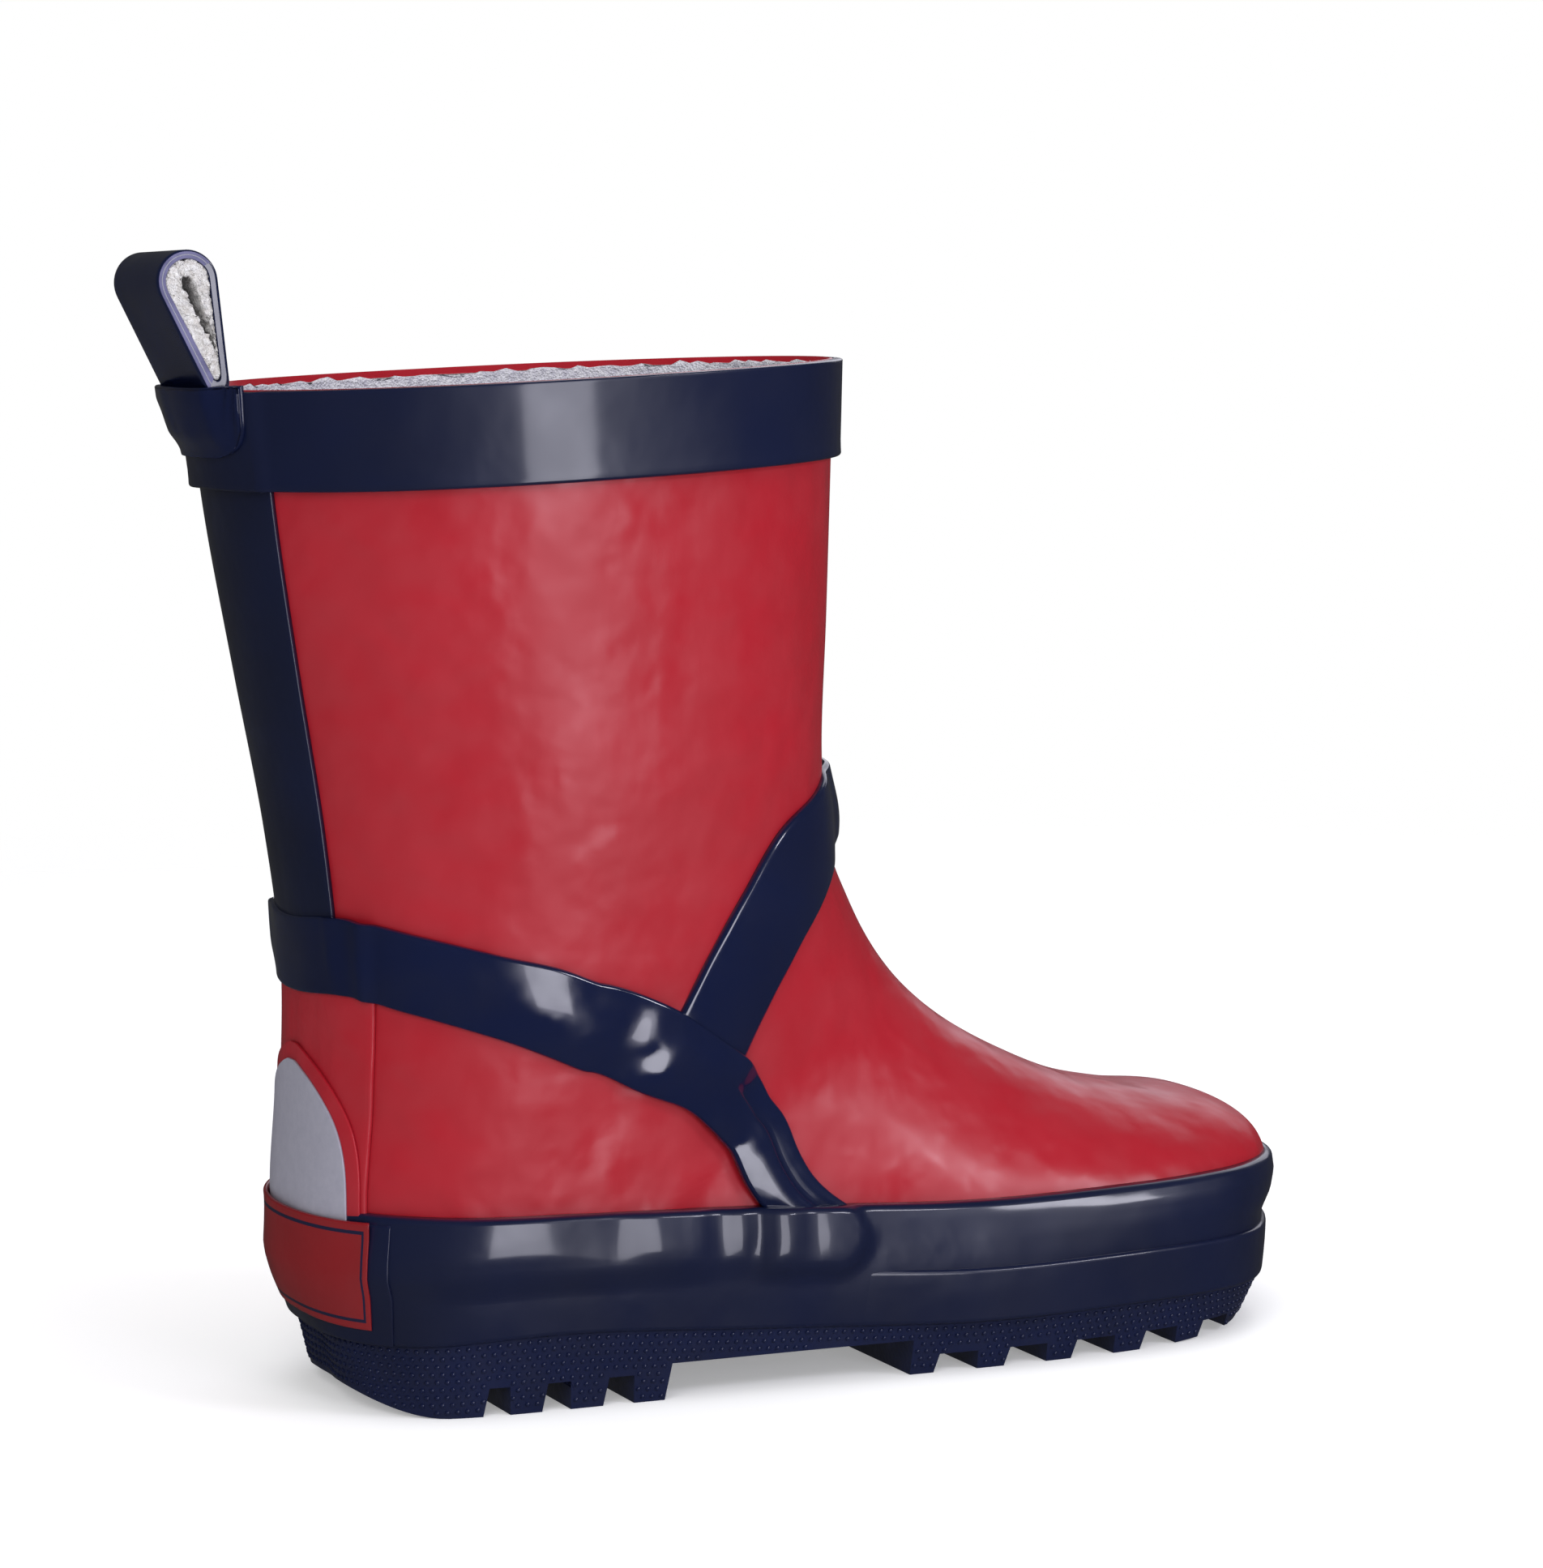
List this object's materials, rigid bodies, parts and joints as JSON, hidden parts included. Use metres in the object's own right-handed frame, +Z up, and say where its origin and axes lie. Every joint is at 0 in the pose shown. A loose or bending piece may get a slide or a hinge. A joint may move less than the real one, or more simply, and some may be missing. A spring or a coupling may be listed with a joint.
{
  "type": "rubber rain boot",
  "caption": "Child's glossy rubber rain boot with ankle and instep straps, foxing band, lugged dotted sole, reflective heel patch, loose insole and textile-lined pull loop.",
  "frame": {"origin": "on the floor under the middle of the heel tread, on the foot's centre line", "axes": "+X to the toe, +Y to the inner side of the foot, +Z up"},
  "size_m": [0.1943, 0.0739, 0.1744],
  "materials": {
    "red_rubber": "glossy vulcanised rubber, slightly wavy",
    "navy_rubber": "glossy vulcanised rubber",
    "sole_rubber": "moulded rubber with raised dots, satin",
    "label_rubber": "moulded rubber, satin",
    "textile_lining": "brushed cotton knit, fuzzy",
    "loop_textile": "brushed cotton webbing, fuzzy",
    "stiffener_fabric": "rubberised cotton canvas",
    "insole_board": "cellulose fibre board",
    "insole_foam": "closed-cell foam, matte",
    "sponge_rubber": "sponge rubber, matte",
    "reflective_film": "glass-bead reflective film, silver grey"
  },
  "bodies": {
    "boot": {"upper": "red_rubber", "lower_back_stay": "red_rubber", "lining": "textile_lining", "heel_counter": "stiffener_fabric", "toe_puff": "stiffener_fabric", "ankle_reinforcement_outer": "stiffener_fabric", "ankle_reinforcement_inner": "stiffener_fabric", "insole_board": "insole_board", "midsole_sponge": "sponge_rubber", "outsole": "sole_rubber", "foxing_band": "navy_rubber", "toe_bumper": "navy_rubber", "heel_strip": "navy_rubber", "heel_label": "label_rubber", "reflector_base": "label_rubber", "reflector_patch": "reflective_film", "back_stay": "navy_rubber", "top_band": "navy_rubber", "ankle_strap": "navy_rubber", "instep_strap_inner": "navy_rubber", "instep_strap_outer": "navy_rubber", "pull_loop_tails": "navy_rubber", "pull_loop_patch": "navy_rubber"},
    "insole": {"insole_foam": "insole_foam", "insole_cover": "textile_lining"},
    "pull_loop": {"pull_loop": "navy_rubber", "pull_loop_lining": "loop_textile"}
  },
  "joints": [
    {"name": "insole_lift", "type": "hinge", "parent": "boot", "child": "insole", "pos_m": [0.127, 0, 0.018], "axis": [0, 1, 0], "range_deg": [0, 10]},
    {"name": "pull_loop_bend", "type": "hinge", "parent": "boot", "child": "pull_loop", "pos_m": [-0.0444, 0, 0.1546], "axis": [0, 1, 0], "range_deg": [-45, 60], "stiffness_Nm_per_rad": 0.02}
  ]
}
